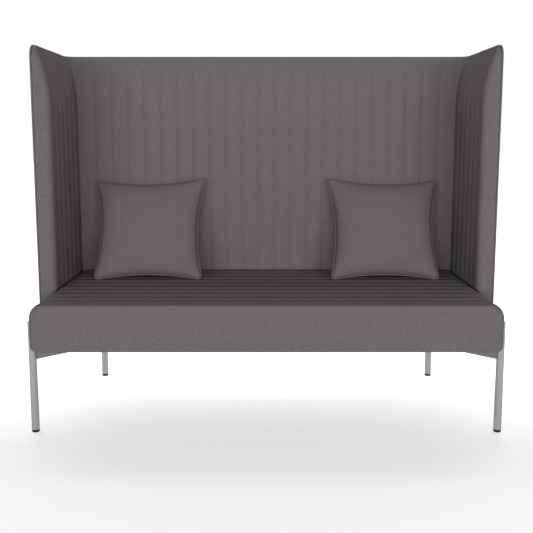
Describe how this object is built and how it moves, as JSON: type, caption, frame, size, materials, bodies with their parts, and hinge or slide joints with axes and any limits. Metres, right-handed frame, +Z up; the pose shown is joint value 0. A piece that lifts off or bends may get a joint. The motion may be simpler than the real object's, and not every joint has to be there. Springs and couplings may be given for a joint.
{
  "type": "high-back sofa",
  "caption": "Upholstered sofa with a tall back and side wings, channel-stitched inside, loose square cushions and slim tube legs",
  "frame": {"origin": "on the floor under the middle of the sofa", "axes": "+X to the right as seen from the front, +Y to the rear, so the front faces -Y, +Z up; left and right in names are as seen from the front"},
  "size_m": [1.592, 0.704, 1.288],
  "materials": {
    "cloth_grey": "woven melange wool, matte",
    "cloth_under": "thin non-woven dust cloth",
    "padding": "foam and fibre wadding",
    "strap": "elastic webbing",
    "frame_wood": "plain beech and birch plywood, unfinished",
    "leg_metal": "satin silver",
    "bracket_metal": "satin grey",
    "bolt_metal": "zinc plated",
    "glide_plastic": "moulded, black"
  },
  "bodies": {
    "sofa": {"back_board": "frame_wood", "back_outer_cover": "cloth_grey", "back_outer_padding": "padding", "back_quilt": "cloth_grey", "back_top_border": "cloth_grey", "bracket_bolts": "bolt_metal", "edge_piping": "cloth_grey", "front_left_bracket": "bracket_metal", "front_left_glide": "glide_plastic", "front_left_leg": "leg_metal", "front_left_leg_cap": "leg_metal", "front_right_bracket": "bracket_metal", "front_right_glide": "glide_plastic", "front_right_leg": "leg_metal", "front_right_leg_cap": "leg_metal", "left_wing_board": "frame_wood", "left_wing_border": "cloth_grey", "left_wing_outer_cover": "cloth_grey", "left_wing_outer_padding": "padding", "left_wing_quilt": "cloth_grey", "rear_left_bracket": "bracket_metal", "rear_left_glide": "glide_plastic", "rear_left_leg": "leg_metal", "rear_right_bracket": "bracket_metal", "rear_right_glide": "glide_plastic", "rear_right_leg": "leg_metal", "right_wing_board": "frame_wood", "right_wing_border": "cloth_grey", "right_wing_outer_cover": "cloth_grey", "right_wing_outer_padding": "padding", "right_wing_quilt": "cloth_grey", "seat_corner_blocks": "frame_wood", "seat_cover": "cloth_grey", "seat_cross_rails": "frame_wood", "seat_dust_cover": "cloth_under", "seat_foam": "padding", "seat_front_rail": "frame_wood", "seat_left_rail": "frame_wood", "seat_rear_rail": "frame_wood", "seat_right_rail": "frame_wood", "seat_webbing": "strap", "shell_bolts": "bolt_metal"},
    "left_cushion": {"left_cushion_cover": "cloth_grey", "left_cushion_insert": "padding"},
    "right_cushion": {"right_cushion_cover": "cloth_grey", "right_cushion_insert": "padding"}
  },
  "joints": [
    {"name": "left_cushion_lift", "type": "slide", "parent": "sofa", "child": "left_cushion", "axis": [0, 0, 1], "range_m": [0, 0.9]},
    {"name": "right_cushion_lift", "type": "slide", "parent": "sofa", "child": "right_cushion", "axis": [0, 0, 1], "range_m": [0, 0.9]}
  ]
}
